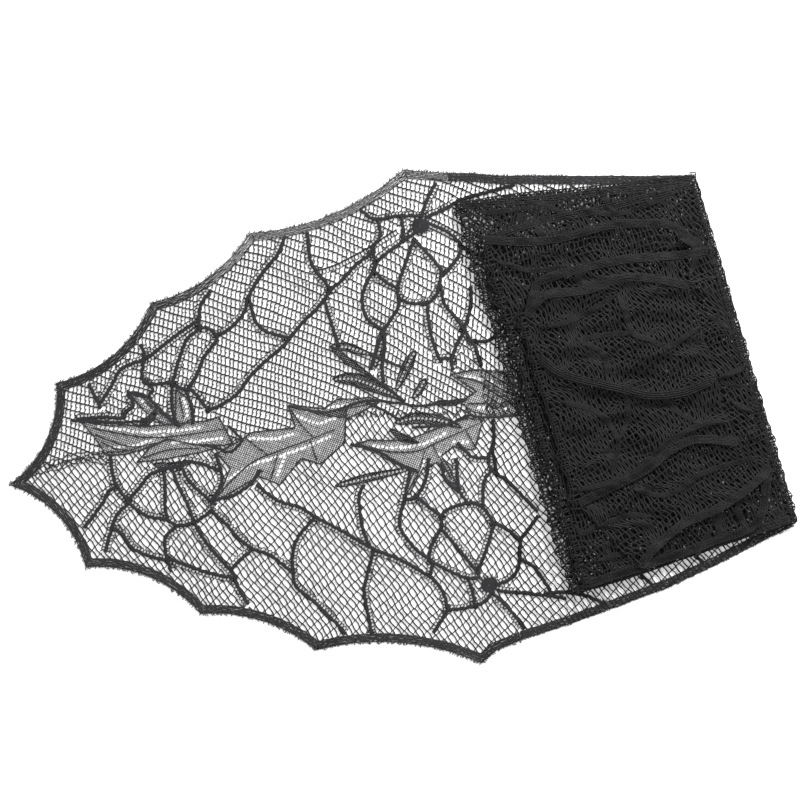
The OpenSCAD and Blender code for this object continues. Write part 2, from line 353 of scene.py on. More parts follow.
# The next material is the ribbed border yarn painted darker: painted shade on the stack's ply borders
FOLDED_RIB_PAINTED_SHADE = yarn_material("folded_border_yarn_painted_shade", (0.0088, 0.0088, 0.0094), 0.64, 0.08, 1500)
CORD = yarn_material("web_cord_yarn", (0.016, 0.016, 0.0175), 0.68, 0.12, 1400)
LEAF = yarn_material("leaf_mesh_yarn", (0.024, 0.024, 0.026), 0.6, 0.16, 2100)


# ---- the open end's outline
SCALLOPS = [(0, 0, 0), (58, 0.373, 14), (156, 0.63, 14), (256, 0.845, 11), (405, 1, 13)]


def hollow(a, b, sag, n=12):
    """Circular arc from a to b, hollow by sag on its right-hand side."""
    a, b = np.array(a, float), np.array(b, float)
    c = np.hypot(*(b - a))
    r = (c * c / 4 + sag * sag) / (2 * sag)
    half = math.asin(c / 2 / r)
    along = (b - a) / c
    side = np.array([along[1], -along[0]])
    mid = (a + b) / 2 - side * (r - sag)
    w = np.linspace(-half, half, n + 1)[:-1, None]
    return mid + side * r * np.cos(w) + along * r * np.sin(w)


def scallop_line():
    tips = [(s, share * HALF_W) for s, share, sag in SCALLOPS]
    arcs = [hollow(tips[i - 1], tips[i], SCALLOPS[i][2]) for i in range(1, 5)]
    return np.vstack(arcs + [np.array([tips[-1]])])


UPPER_EDGE = np.vstack([scallop_line(), [(420, 226.5), (OPEN_L, 221)]])
LOWER_EDGE = np.vstack([scallop_line() * [1, -1], [(420, -221), (OPEN_L, -215)]])
OPEN_OUTLINE = np.vstack([LOWER_EDGE, UPPER_EDGE[::-1]])
UPPER_ON = [(OPEN_L, 221), (468, 217), (492, 211), (516, 207.5), (552, 201.5), (588, 196), (624, 190), (664.9, 184.2)]
LOWER_ON = [(OPEN_L, -215), (468, -211.5), (492, -207.5), (540, -198), (588, -188), (636, -174), (684, -158),
            (709, -150.9)]
BOTTOM_OUTLINE = np.vstack([LOWER_ON, UPPER_ON[::-1]])

LEAVES = {
    "leaf_1": [
        [(74, 48), (91, 46), (108, 40), (130, 34), (153, 32), (189, 30), (201, 32), (210, 6), (201, 5), (175, 10),
         (151, 19), (127, 13), (109, 11), (93, 13), (84, 33)],
        [(122, 68), (135, 60), (148, 44), (160, 31), (150, 33), (134, 48)],
        [(166, 64), (179, 48), (177, 34), (167, 30), (161, 35)],
        [(120, 2), (134, 14), (151, 19), (175, 10), (195, 4), (177, 2), (148, 1)]],
    "leaf_2": [
        [(194, -1), (219, 8), (229, 13), (269, 11), (266, 32), (298, 20), (319, 23), (312, -10), (287, -26),
         (270, -18), (247, -39), (229, -28), (180, -47), (197, -28), (204, -17)],
        [(266, 32), (276, 30), (298, 24), (312, 31), (322, 29), (341, 28), (350, 22), (332, 16), (319, 12), (298, 18)]],
    "leaf_3": [
        [(321, -13), (335, -11), (356, -15), (376, -15), (394, -11), (410, -8), (427, -5), (441, -9), (434, -25),
         (430, -35), (417, -33), (411, -29), (398, -36), (404, -48), (408, -65), (399, -58), (394, -41),
         (379, -45), (363, -67), (361, -61), (371, -46), (353, -35), (339, -24)]],
    "leaf_4": [
        [(418, 37), (440, 38), (467, 32), (472, 24), (476, 3), (478, -7), (456, -9), (433, 0), (423, 10), (439, 18),
         (425, 31)]],
}
VEINS = {
    "leaf_1": [[(84, 40), (108, 31), (130, 24), (151, 21), (178, 20), (206, 20)], [(136, 56), (148, 40)],
               [(86, 33), (100, 25), (118, 17), (142, 17)], [(82, 45), (98, 40), (114, 37)],
               [(94, 16), (110, 14), (128, 16)],
               [(90, 26), (102, 18), (118, 13)], [(168, 56), (169, 36)], [(126, 5), (150, 9), (180, 6)]],
    "leaf_2": [[(186, -42), (205, -27), (226, -14), (250, -8), (280, -2), (306, 4)], [(240, -32), (250, -9)],
               [(284, -22), (281, -3)], [(222, 9), (240, -10)], [(268, 28), (274, 14), (284, 0)],
               [(278, 27), (300, 21), (322, 21), (346, 22)]],
    "leaf_3": [[(326, -14), (350, -24), (376, -28), (396, -23), (414, -18), (436, -12)],
               [(404, -58), (398, -42), (392, -25)], [(364, -62), (376, -46), (384, -28)], [(430, -32), (424, -16)]],
    "leaf_4": [[(424, 34), (444, 26), (466, 8), (474, -3)], [(464, 31), (456, 18)], [(430, 8), (456, 4), (470, 1)]],
}
EYELETS = {
    "leaf_1": [[(90, 41), (112, 34), (134, 28), (156, 26), (182, 25)], [(98, 20), (120, 18), (148, 23)],
               [(156, 15), (178, 13), (200, 12)], [(132, 60), (146, 42)], [(172, 58), (173, 38)]],
    "leaf_2": [[(196, -28), (222, -17), (248, -13), (276, -8), (300, -2)], [(226, 8), (250, 4), (266, 6)],
               [(270, 24), (288, 12), (306, 14)], [(246, -30), (255, -14)], [(282, 24), (304, 25), (324, 24)]],
    "leaf_3": [[(338, -17), (360, -22), (384, -22), (404, -16)], [(400, -52), (396, -34)], [(372, -54), (382, -38)],
               [(412, -25), (428, -27)]],
    "leaf_4": [[(432, 33), (450, 27), (464, 16)], [(440, 3), (458, -2), (472, 0)]],
}
# Pods and stalks of the spray between the leaves: a spine and its greatest width
PODS = [
    ([(313, 80), (330, 76), (349, 66)], 7), ([(313, 80), (328, 63), (345, 48)], 6),
    ([(310, 50), (331, 46), (352, 34), (371, 21)], 12), ([(362, 87), (358, 72), (350, 54)], 7.5),
    ([(390, 64), (382, 54), (374, 42), (366, 30)], 9), ([(395, 37), (389, 29), (380, 20)], 6.5),
    ([(360, 1), (381, 2), (404, -4), (421, -13)], 10), ([(355, -4), (366, -14), (380, -21)], 6),
    ([(297, -48), (331, -45), (370, -43)], 7), ([(400, 14), (414, 11), (430, 12)], 5),
    ([(128, 36), (137, 39), (146, 47)], 6), ([(134, -2), (150, -6), (170, -6)], 6),
]
STALKS = [
    [(319, 23), (340, 25), (368, 18), (384, 13), (404, 12), (424, 11)],
    [(378, -6), (407, -8), (428, -3), (442, -7), (476, -10)], [(319, -13), (340, -22), (356, -35), (373, -46)],
    [(69, 49), (86, 45), (110, 41), (136, 39)], [(345, 48), (358, 34), (371, 21)], [(349, 66), (362, 58), (376, 50)],
    [(364, 4), (352, 14), (340, 22)], [(210, 20), (219, 8)], [(195, 4), (206, -2), (216, 4)],
]

UPPER_WEB = [
    [(192, 39), (204, 42), (221, 50), (235, 64), (252, 76), (271, 88), (289, 104), (308, 118), (322, 132)],
    [(322, 132), (332, 138), (342, 146), (352, 153), (365, 159)], [(88, 79), (94, 59)],
    [(97, 63), (109, 77), (120, 90), (144, 96), (166, 108), (188, 119), (196, 122)],
    [(196, 118), (198, 128), (202, 138), (211, 147)],
    [(196, 116), (204, 114), (210, 108), (210, 102), (196, 88), (187, 73), (177, 62)],
    [(210, 107), (218, 108), (230, 115), (240, 124), (246, 138), (262, 157), (278, 171), (286, 184)],
    [(246, 134), (247, 120), (249, 112), (256, 103), (275, 94)],
    [(141, 107), (142, 97), (137, 82), (139, 74), (146, 71), (163, 70)],
    [(195, 114), (184, 108), (177, 97), (169, 81), (164, 69)], [(163, 68), (175, 61), (181, 59), (189, 46), (192, 39)],
    [(175, 60), (178, 44), (177, 32)], [(163, 68), (160, 48), (161, 33)], [(123, 67), (138, 61), (149, 46), (163, 30)],
    [(138, 74), (145, 67), (141, 62)], [(122, 64), (125, 55), (116, 49)], [(73, 50), (96, 48), (112, 45), (118, 50)],
    [(308, 185), (307, 164), (310, 151), (318, 138), (321, 130)],
    [(314, 122), (316, 108), (318, 95), (320, 81)], [(311, 151), (328, 153), (353, 161), (372, 169), (388, 176)],
    [(361, 199), (372, 189), (394, 189), (412, 186)], [(374, 188), (374, 173), (365, 163), (366, 152), (363, 142)],
    [(396, 188), (396, 176), (394, 166)], [(406, 171), (388, 162), (371, 153), (363, 143)],
    [(363, 142), (354, 131), (348, 116), (351, 99), (363, 88)], [(364, 142), (371, 132), (382, 124)],
    [(404, 165), (394, 146), (385, 129), (382, 120), (381, 107), (372, 96), (363, 85), (354, 70), (347, 55)],
    [(363, 82), (362, 70), (357, 55), (356, 42)],
    [(383, 114), (391, 108), (408, 106), (418, 113), (423, 126), (428, 131)],
    [(405, 164), (416, 149), (425, 133)], [(420, 178), (435, 168), (445, 156), (443, 144), (428, 130)],
    [(415, 186), (421, 198), (431, 212)], [(420, 184), (438, 189), (456, 195), (500, 200)],
    [(407, 105), (406, 80), (409, 58), (411, 51)], [(411, 53), (420, 51), (421, 43)],
    [(422, 118), (423, 102), (430, 90), (437, 76)], [(437, 75), (427, 61), (421, 50)],
    [(437, 75), (444, 60), (447, 43)],
    [(437, 76), (446, 95), (449, 112)], [(440, 66), (456, 62), (470, 70)], [(446, 152), (456, 144), (470, 140)],
]
LOWER_WEB = [
    [(97, 11), (96, 0), (98, -16), (106, -31)], [(98, -18), (90, -20), (83, -30), (64, -48)],
    [(106, -33), (121, -48), (138, -54), (147, -61), (162, -61), (181, -53)],
    [(106, -34), (94, -43), (86, -57), (79, -73)],
    [(88, -54), (96, -61), (104, -76), (124, -88), (134, -91)], [(137, -91), (154, -101), (174, -111), (192, -117)],
    [(106, -31), (120, -20), (130, -11), (145, -8), (160, -7)], [(143, -10), (142, -24), (139, -44), (140, -54)],
    [(151, -10), (154, -24), (160, -44), (163, -60)], [(160, -9), (165, -23), (176, -37), (184, -46)],
    [(165, -4), (178, -8), (193, -17)], [(193, -3), (195, -26), (184, -42)],
    [(181, -43), (202, -42), (220, -34), (230, -24)],
    [(163, -61), (171, -80), (183, -100), (191, -112), (194, -126), (200, -141)],
    [(181, -53), (193, -68), (199, -78), (212, -93), (227, -101), (238, -112), (246, -121)],
    [(212, -94), (198, -103), (191, -109)], [(147, -62), (136, -69), (133, -82), (135, -100)],
    [(227, -37), (243, -53), (263, -63), (274, -73), (293, -87), (309, -100), (323, -111), (345, -124), (363, -138),
     (372, -146), (380, -160), (382, -177)],
    [(274, -74), (258, -87), (249, -102), (246, -122), (247, -134), (260, -149), (276, -170), (284, -182)],
    [(322, -53), (317, -62), (316, -90), (319, -105)], [(323, -112), (312, -137), (308, -150), (309, -185)],
    [(367, -47), (358, -70), (351, -88), (352, -101), (363, -119), (374, -131), (371, -142)],
    [(386, -38), (381, -54), (370, -69), (359, -71)], [(370, -70), (380, -81), (389, -91)],
    [(389, -92), (387, -102), (376, -116), (372, -128)], [(389, -91), (397, -85), (416, -83), (428, -88), (436, -104)],
    [(397, -44), (399, -60), (409, -71), (415, -83)], [(411, -42), (409, -68)], [(388, -103), (399, -121), (414, -147)],
    [(436, -105), (427, -125), (416, -144)], [(374, -131), (388, -141), (404, -151), (414, -152)],
    [(405, -152), (407, -166), (407, -177)], [(382, -177), (400, -178), (416, -175), (424, -168)],
    [(382, -177), (374, -186), (367, -194)], [(432, -167), (450, -172), (470, -177), (489, -183)],
    [(426, -169), (439, -187), (448, -203)], [(431, -161), (443, -158), (452, -149), (456, -133)],
    [(436, -105), (446, -111), (457, -125), (455, -140), (466, -150), (477, -172)], [(458, -124), (476, -106)],
    [(442, -56), (433, -66), (429, -87)], [(450, -12), (448, -30), (441, -44), (442, -56), (456, -70), (476, -98)],
    [(416, -28), (426, -41), (439, -44)],
]
LOOSE_THREAD = (311, 151)  # where the one thin thread of the web starts
HUBS = {"upper_web_centre": (412, 177), "lower_web_centre": (423, -160)}


def spindle(spine, width, n=14):
    """Closed outline of a pod: a spine that swells to width and tapers to both ends."""
    p = resample(curve(spine, 1.0), 1.0)
    p = resample(p, np.hypot(*np.diff(p, axis=0).T).sum() / n)
    t = np.gradient(p, axis=0)
    t /= np.hypot(*t.T)[:, None]
    side = np.column_stack([-t[:, 1], t[:, 0]])
    f = np.linspace(0, 1, len(p))
    w = (width / 2 * np.sin(math.pi * f ** 0.8) ** 0.7)[:, None]
    return np.vstack([p + side * w, (p - side * w)[-2:0:-1]])


POD_OUTLINES = [spindle(*pod) for pod in PODS]
COVERED = [np.array(o, float) for group in LEAVES.values() for o in group] + POD_OUTLINES


# ---- ground net
def net_frame(origin, row, tie):
    """A net's origin and the unit vectors of its rows and ties, from their angles in degrees."""
    r, q = math.radians(row), math.radians(tie)
    return np.array(origin, float), np.array([math.cos(r), math.sin(r)]), np.array([math.cos(q), math.sin(q)])


def grid(points, net):
    """Turns net coordinates, along the rows and along the ties, into cloth points."""
    origin, r, q = net
    return origin + points[:, :1] * r + points[:, 1:2] * q


def reach_of(outline, net, margin=0):
    """Lowest and highest net coordinates of an outline, with a margin."""
    origin, r, q = net
    c = (np.asarray(outline, float) - origin) @ np.linalg.inv(np.column_stack([r, q])).T
    return c.min(axis=0) - margin, c.max(axis=0) + margin


def counts(low, high, pitch):
    return range(int(low // pitch), int(high // pitch) + 1)


NET_MARGIN = 30  # how far nets are laid out past their outlines
# Cells of one millimetre that the ground net leaves free beside the web cords
CLEAR = np.zeros((800, 520), bool)
CLEAR_AT = np.array([20, 260])


def cell_of(points):
    c = np.round(points[:, :2] + CLEAR_AT).astype(int)
    return np.clip(c, 0, np.array(CLEAR.shape) - 1)


def clear_round(points, radius):
    """Marks the cells within radius of the points."""
    r = int(math.ceil(radius))
    for i in range(-r, r + 1):
        for j in range(-r, r + 1):
            if math.hypot(i, j) <= radius:
                c = cell_of(points + [i, j])
                CLEAR[c[:, 0], c[:, 1]] = True


def cut(path, outline, holes, ease):
    """True for the points within the outline, outside the holes and clear of the cords."""
    keep = inside(path, outline)
    if ease:
        c = cell_of(path)
        keep &= ~CLEAR[c[:, 0], c[:, 1]]
    if keep.any():
        for hole in holes:
            lo, hi = hole.min(axis=0), hole.max(axis=0)
            near = np.flatnonzero(keep & (path > lo).all(axis=1) & (path < hi).all(axis=1))
            keep[near[inside(path[near], hole)]] = False
    return keep


TIE_BEAT = np.array([1.2, 0.85, 1.25, 0.85, 1.2])


def rowed_net(yarns, outline, holes, net, warp, z, pitch=(4.0, 7.6), width=1.22, eased=True):
    """Straight rows with S-shaped ties between them: two small openings in each cell."""
    (a0, b0), (a1, b1) = reach_of(outline, net, NET_MARGIN)
    for k in counts(b0, b1, pitch[1]):
        a = np.arange(a0, a1, 2.0)
        b = k * pitch[1] + 0.4 * np.sin(2 * math.pi * a / pitch[0]) + rng.normal(0, 0.1, len(a))
        path = warp(grid(np.column_stack([a, b]), net))
        for run in stretches(path, cut(path, outline, holes, eased)):
            yarns.add(placed(run, z, 0.15), rng.normal(width, 0.12, len(run)).clip(0.7, 1.6), 0.85)
    f = np.linspace(0, 1, 5)
    for k in counts(b0, b1, pitch[1]):
        starts = np.arange(a0, a1, pitch[0]) + (k % 2) * pitch[0] / 2 + rng.uniform(-0.3, 0.3)
        a = starts[:, None] + 0.95 * np.sin(2 * math.pi * f) + 0.3 * (f - 0.5) + rng.normal(0, 0.22, (len(starts), 1))
        b = (k + f)[None] * pitch[1] + np.zeros_like(a)
        pts = warp(grid(np.column_stack([a.ravel(), b.ravel()]), net))
        keep = cut(pts, outline, holes, eased).reshape(a.shape)
        pts = pts.reshape(len(starts), 5, 2)
        for tie, ok in zip(pts, keep):
            if not ok.all():
                for run in stretches(tie, ok):
                    yarns.add(placed(run, z), rng.uniform(0.62, 0.82) * width, 0.6)
            else:
                yarns.add(placed(tie, z), rng.uniform(0.62, 0.82) * width * TIE_BEAT, 0.6)
                if rng.random() < 0.86:
                    across = tie[4] - tie[0]
                    arm = np.array([across[1], -across[0]]) / np.hypot(*across)
                    tip = tie[2] + arm * rng.uniform(1.3, 2.0) + across * rng.uniform(-0.04, 0.1)
                    yarns.add(placed(np.array([tie[2], tip]), z), width * 0.5, 0.5)


def celled_net(yarns, outline, holes, net, warp, z, pitch=(8.2, 4.25), width=1.12, step=2.05, tie_width=0.76, wave=0.5,
               eased=False):
    """Wavy threads side by side, joined by short ties in straight rows: rounded, elongated cells."""
    (a0, b0), (a1, b1) = reach_of(outline, net, NET_MARGIN)
    for k in counts(b0, b1, pitch[1]):
        a = np.arange(a0, a1, step)
        b = k * pitch[1] + wave * (-1) ** k * np.sin(2 * math.pi * a / (pitch[0] * 2)) + rng.normal(0, 0.1, len(a))
        path = warp(grid(np.column_stack([a, b]), net))
        for run in stretches(path, cut(path, outline, holes, eased)):
            yarns.add(placed(run, z), rng.normal(width, 0.1, len(run)).clip(width * 0.7, width * 1.5), 0.75)
    for j in counts(a0, a1, pitch[0]):
        b = np.arange(b0, b1, pitch[1] / 2)
        a = j * pitch[0] + 0.35 * np.sin(2 * math.pi * b / pitch[1]) + rng.normal(0, 0.16, len(b))
        path = warp(grid(np.column_stack([a, b]), net))
        for run in stretches(path, cut(path, outline, holes, eased)):
            yarns.add(placed(run, z), rng.normal(tie_width, 0.08, len(run)).clip(0.4, 1.6), 0.55)


drift_s, drift_t = Noise(40, 130, 0.9), Noise(40, 130, 0.9)


def drifted(p):
    return p + np.column_stack([drift_s(p), drift_t(p)])


def upper_warp(p):
    s, t = p[:, 0], p[:, 1]
    bend = 0.001 * np.clip(s - 250, 0, 220) ** 2 * np.clip((200 - t) / 120, 0, 1)
    return drifted(np.column_stack([s, t - bend]))


def half(side):
    """The part of the cloth above or below the leaf chain, which the other half's net leaves free."""
    line = [(-20, 10), (50, 12), (110, 16), (150, 14), (240, 4), (330, 14), (400, 2), (480, 2), (760, 2)]
    far = 320 * side
    return np.vstack([np.array(line) + [0, 3.5 * side], [(760, far), (-20, far)]])


# ---- open end
def open_inner():
    """The open end within its border."""
    body = offset_in(OPEN_OUTLINE, BORDER_W - 1.5)
    body = body[body[:, 0] < OPEN_L - 12]
    body = body[np.argsort(np.arctan2(body[:, 1], 500 - body[:, 0]))]
    return np.vstack([body, [(OPEN_L + 2, 220 - BORDER_W), (OPEN_L + 2, -214 + BORDER_W)]])


OPEN_INNER = open_inner()
HOLES = [h for h in (offset_in(c, 0.9, 1.0) for c in COVERED) if len(h) > 3]
CORD_CLEAR, EYELET_AT, EYELET_R = 0.9, 2.4, 1.3
UPPER_NET = net_frame((0, 0), -27, 63)
LOWER_NET = net_frame((0, 0), -62, 37)


def cord_path(route, outline):
    """A cord's smooth path, run on a little past its ends so that it meets its neighbours."""
    r = np.asarray(route, float)
    first, last = r[0] - r[1], r[-1] - r[-2]
    r = np.vstack([r[0] + first / np.hypot(*first) * 2.5, r, r[-1] + last / np.hypot(*last) * 2.5])
    path = curve(r, 1.6)
    if outline is not None:
        path = path[inside(path, outline)]
    return path


def eyelet_sides(i, path):
    """The sides of web cord i that have a row of round openings."""
    return (-1, 1) if path[:, 0].mean() < 190 and i % 3 == 0 else ((-1,) if i % 2 else (1,))


for web in (UPPER_WEB, LOWER_WEB):
    for i, route in enumerate(web):
        path = cord_path(route, OPEN_INNER)
        if len(path) > 6:
            clear_round(path, CORD_CLEAR)
            for k in eyelet_sides(i, path):
                clear_round(path + sides_of(path) * EYELET_AT * k, EYELET_R)


def make_open_net():
    yarns = Yarns()
    rowed_net(yarns, OPEN_INNER, HOLES + [half(-1)], UPPER_NET, upper_warp, NET_Z)
    celled_net(yarns, OPEN_INNER, HOLES + [half(1)], LOWER_NET, drifted, NET_Z, eased=True)
    for level in (6, 10, 15):
        seam = curve([(8, level - 8), (24, level), (44, level + 1), (70, level + 4), (96, level - 2)], 2.0)
        seam += rng.normal(0, 0.9, seam.shape)
        yarns.add(placed(seam[inside(seam, OPEN_INNER)], 0.5), 0.9, 0.6)
    return yarns.mesh("open_end_lace", NET)


open_net = make_open_net()


def band(yarns, edge, z, inward, cords=6, step=2.0, fill=0.92, floor_t=None):
    """A ribbed border: cords side by side along the edge, bound by a zigzag thread.

    floor_t keeps it on its side of the tip.
    """
    line = resample(edge, step)
    side = sides_of(line) * inward
    pitch = BORDER_W / cords
    ring = RING6 if cords > 4 else RING4
    for i in range(cords):
        depth = (i + 0.5) * pitch
        path = line + side * depth
        ok = distance(path, edge) > depth - 0.4
        if floor_t is not None:
            ok &= path[:, 1] * inward < -floor_t
        path = path[ok] + rng.normal(0, 0.2, path[ok].shape)
        share = fill(path) if callable(fill) else fill
        beat = 1 + 0.26 * (np.arange(len(path)) % 2) + rng.normal(0, 0.12, len(path))
        yarns.add(placed(path, z, 0.12 * (i % 2)), pitch * share * beat, 0.9, ring)
    outer = np.arange(len(line)) % 2 == 0
    zig = line + side * np.where(outer, 0.4, BORDER_W - 0.4)[:, None]
    ok = distance(zig, edge) > np.where(outer, 0, BORDER_W - 1.2)
    if floor_t is not None:
        ok &= zig[:, 1] * inward < -floor_t
    zig = zig[ok]
    yarns.add(placed(zig, z, 0.35), rng.uniform(0.6, 1.0, len(zig)), 0.7)


def fringe(yarns, edge, z, outward, pitch=1.45, low=1.0, high=3.4):
    """Frayed yarn ends that stand out from an edge."""
    line = resample(edge, pitch)
    thick, flat = np.array([0.85, 0.7, 0.45]), np.array([0.6, 0.5, 0.35])
    for p, n, a in zip(line, sides_of(line) * outward, headings(line)):
        size = rng.uniform(low, high) * (0.45 if rng.random() < 0.3 else 1)
        lean = rng.normal(0.25, 0.45)
        f = np.array([[0], [0.5], [1.0]])
        hair = p - n * 0.6 + (n * f + a * lean * f ** 2) * size
        yarns.add(placed(hair, np.array([z, z + 0.1, max(0.25, z + rng.normal(0, 0.5))])), thick, flat)


def make_open_border(side):
    edge = UPPER_EDGE if side > 0 else LOWER_EDGE
    yarns = Yarns()
    fill = (lambda p: np.clip(1.0 - (p[:, 0] - 80) / 360, 0.5, 0.94)) if side > 0 else 0.92
    band(yarns, edge, 0.5, inward=-side, fill=fill, floor_t=-0.3)
    piece = yarns.mesh("open_end_%s_border_rib" % SIDE_NAME[side], RIB)
    hairs = Yarns()
    fringe(hairs, edge, 0.6, side)
    lashes = hairs.mesh("open_end_%s_fringe" % SIDE_NAME[side], RIB)
    return piece, lashes


upper_border, upper_fringe = make_open_border(1)
lower_border, lower_fringe = make_open_border(-1)


def cord(yarns, route, z, width=3.3, height=1.2, outline=None):
    """A dense inlaid cord: a knotty core, a thread along each side and the stubs of the knit beside it."""
    path = cord_path(route, outline)
    if len(path) < 3:
        return path
    path = path + rng.normal(0, 0.16, path.shape)
    n = len(path)
    beat = 1 + 0.2 * np.sin(np.arange(n) * 2.1 + rng.uniform(0, 6)) + rng.normal(0, 0.1, n)
    yarns.add(placed(path, z), width * 0.72 * beat, height, RING6)
    side = sides_of(path)
    for k in (-1, 1):
        weave = 0.34 + 0.12 * np.sin(np.arange(n) * 1.4 + k)
        yarns.add(placed(path + side * (k * width * weave)[:, None], z, 0.1), width * 0.3, height * 0.75)
        for i in range(k % 2, n, 2):
            tip = path[i] + side[i] * k * width * rng.uniform(0.4, 0.62) + rng.normal(0, 0.3, 2)
            yarns.add(np.array([[*path[i], z], [*tip, z - 0.1]]), 0.9, 0.7)
    return path


def eyelet_row(yarns, path, side, z):
    """A row of round openings beside a cord: a thread along it, held by rungs."""
    away = sides_of(path) * side
    wave = 3.9 + 0.6 * np.cos(np.arange(len(path)) * math.pi)
    rim = path + away * wave[:, None]
    ok = inside(rim, OPEN_INNER)
    for hole in HOLES:
        ok &= ~inside(rim, hole)
    for run in stretches(rim, ok, 4):
        yarns.add(placed(run, z), rng.uniform(0.7, 1.1, len(run)), 0.7)
    for i in range(1, len(path) - 1, 2):
        if ok[i]:
            yarns.add(placed(np.array([path[i], rim[i]]), z), rng.uniform(0.8, 1.1), 0.7)


def make_web(name, routes):
    yarns = Yarns()
    for i, route in enumerate(routes):
        path = cord(yarns, route, CORD_Z, width=1.5 if route[0] == LOOSE_THREAD else 3.3, outline=OPEN_INNER)
        if len(path) > 6:
            for k in eyelet_sides(i, path):
                eyelet_row(yarns, path, k, 0.5)
    return yarns.mesh(name, CORD)


upper_web = make_web("upper_web", UPPER_WEB)
lower_web = make_web("lower_web", LOWER_WEB)


def make_hub(name, centre):
    """A solid knitted disc: a spiral of yarn crossed by short spokes."""
    yarns = Yarns()
    w = np.arange(0, 2 * math.pi * 6.2, 0.42)
    r = 0.5 + w / (2 * math.pi) * 1.12
    spiral = np.column_stack([centre[0] + r * np.cos(w) * 1.05, centre[1] + r * np.sin(w) * 0.95])
    yarns.add(placed(spiral, 0.9 + 0.12 * np.sin(w * 5)), 1.5, 1.1, RING6)
    for i in range(14):
        a = i * 2 * math.pi / 14 + 0.2
        d = np.array([math.cos(a), math.sin(a)])
        spoke = np.array(centre) + d * np.linspace(1, rng.uniform(7, 11.5), 5)[:, None]
        yarns.add(placed(spoke, 0.75), np.array([1.2, 1.3, 1.5, 1.3, 0.8]), 0.9)
    return yarns.mesh(name, CORD)


hubs = {node: make_hub(node + "_knit", centre) for node, centre in HUBS.items()}


def fine_mesh(yarns, outline, z, pitch=1.9, width=0.54, holes=(), clear=1.15):
    """Sheer fill: two sets of fine threads, left open around the eyelets."""
    outline = np.asarray(outline, float)
    for lean in (-29, 58):
        net = net_frame((0, 0), lean, lean + 90)
        (a0, b0), (a1, b1) = reach_of(outline, net)
        for b in np.arange(b0, b1, pitch):
            a = np.arange(a0, a1, 0.9)
            path = grid(np.column_stack([a, b + 0.18 * np.sin(a * 1.9)]), net)
            keep = inside(path, outline)
            for hole in holes:
                keep &= np.hypot(*(path - hole).T) > clear
            for run in stretches(path, keep):
                run = np.vstack([run[:-1:3], run[-1:]])
                yarns.add(placed(run, z), width * rng.uniform(0.85, 1.2), 0.4)


def edge_cord(yarns, outline, z, step, rough, low, high):
    """A cord round an outline."""
    ring = resample(ringed(outline), step)
    ring = ring + rng.normal(0, rough, ring.shape)
    yarns.add(placed(ring, z), rng.uniform(low, high, len(ring)), 1.0, RING6)


def make_leaf(name):
    yarns = Yarns()
    dots = [p for row in EYELETS[name] for p in resample(curve(row, 1.0), 4.1)]
    dots = [p for p in dots if any(inside(np.array([p]), o)[0] for o in LEAVES[name])]
    for outline in LEAVES[name]:
        o = np.asarray(outline, float)
        lo, hi = o.min(axis=0) - 2, o.max(axis=0) + 2
        near = [p for p in dots if (lo < p).all() and (p < hi).all()]
        fine_mesh(yarns, outline, 0.55, holes=near)
        edge_cord(yarns, o, CORD_Z, 1.7, 0.12, 1.1, 2.1)
    for vein in VEINS[name]:
        path = curve(vein, 1.7)
        yarns.add(placed(path + rng.normal(0, 0.1, path.shape), 0.85), np.linspace(1.7, 0.9, len(path)), 0.9, RING6)
    return yarns.mesh(name + "_mesh", LEAF)


leaves = {name: make_leaf(name) for name in LEAVES}


def make_spray():
    yarns = Yarns()
    for (spine, width), outline in zip(PODS, POD_OUTLINES):
        middle = resample(curve(spine, 1.0), 3.7)
        dots = middle[1:-1] if width > 6.4 else middle[:0]
        fine_mesh(yarns, outline, 0.6, pitch=1.6, width=0.8, holes=dots, clear=1.35)
        for p in dots:
            w = np.linspace(0, 2 * math.pi, 9)
            yarns.add(placed(p + np.column_stack([np.cos(w), np.sin(w)]) * 1.6, 0.8), 0.7, 0.7)
        edge_cord(yarns, outline, 0.85, 1.6, 0.15, 1.0, 1.8)
    for route in STALKS:
        cord(yarns, route, 0.85, width=2.5, height=1.1)
    return yarns.mesh("spray_of_pods", CORD)


spray = make_spray()


# ---- the stack
# Ridges of the crinkled plies: route, height, half width
RIDGES = [
    ([(-50, 187), (-30, 175), (-13, 159), (0, 142)], 1.8, 5),
    ([(-93, 165), (-18, 143), (19, 143), (49, 136), (91, 121)], 2.4, 6),
    ([(-55, 114), (-12, 111), (22, 109), (59, 98)], 2.2, 6), ([(76, 109), (87, 102), (75, 76)], 3.0, 6),
    ([(-107, 85), (-85, 94), (-53, 97), (-18, 91), (17, 92), (43, 84), (57, 79), (99, 52)], 3.2, 7),
    ([(-78, 45), (-65, 27), (-47, 14), (-12, -6), (9, -18), (39, -24), (68, -21), (104, -18)], 3.6, 8),
    ([(-78, -83), (-35, -83), (-8, -75), (15, -63), (48, -57), (71, -61), (102, -83)], 2.2, 5),
    ([(-60, -112), (-42, -106), (-12, -90), (11, -75), (40, -74), (102, -83)], 2.6, 6),
    ([(-42, -171), (-26, -157), (4, -141), (40, -136), (71, -127), (98, -119)], 3.6, 7),
    ([(-106, -112), (-84, -122), (-63, -115)], 2.0, 6), ([(7, -173), (21, -159), (29, -152)], 1.4, 4),
    ([(-90, 186), (-39, 177)], 1.2, 6), ([(-106, 119), (-92, 136), (-64, 135), (-29, 137), (-17, 146)], 1.4, 5),
    ([(13, 15), (39, 20), (73, 29), (99, 52)], 1.8, 6), ([(7, 79), (9, 66), (11, 41), (24, 31)], 1.4, 6),
]
GRID_STEP = 3.0
GRID_U, GRID_V = np.arange(-132, 133, GRID_STEP), np.arange(-230, 241, GRID_STEP)


